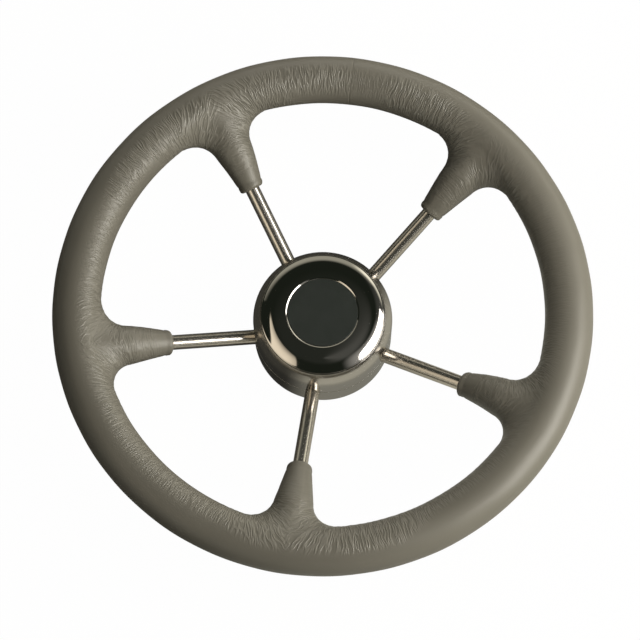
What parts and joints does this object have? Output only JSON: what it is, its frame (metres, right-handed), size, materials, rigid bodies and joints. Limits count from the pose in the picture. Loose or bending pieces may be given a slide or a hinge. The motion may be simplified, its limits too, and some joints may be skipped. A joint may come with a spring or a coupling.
{
  "type": "stainless boat steering wheel",
  "caption": "Dished round boat steering wheel: soft moulded grip on a steel hoop, polished rod spokes, and a hub with a tapered keyed bore under a snap-in cap.",
  "frame": {"origin": "centre of the hub's flat back face, on the shaft's axis", "axes": "+Z along the helm shaft towards the driver, +Y along the first spoke and the keyway"},
  "size_m": [0.343, 0.343, 0.0737],
  "materials": {
    "grip_foam": "soft moulded foam skin, warm grey, satin, with fine creases",
    "polished_steel": "mirror-polished stainless steel",
    "plain_steel": "turned or drawn stainless steel, not polished",
    "dark_disc": "blank satin dark grey disc",
    "seal_rubber": "black rubber"
  },
  "bodies": {
    "root": {"rim_grip": "grip_foam", "rim_hoop": "plain_steel", "spoke_1": "polished_steel", "spoke_2": "polished_steel", "spoke_3": "polished_steel", "spoke_4": "polished_steel", "spoke_5": "polished_steel", "hub_back_cup": "polished_steel", "hub_front_ring": "polished_steel", "hub_boss": "plain_steel", "cap_cover": "polished_steel", "cap_disc": "dark_disc", "cap_seal": "seal_rubber"}
  },
  "joints": []
}
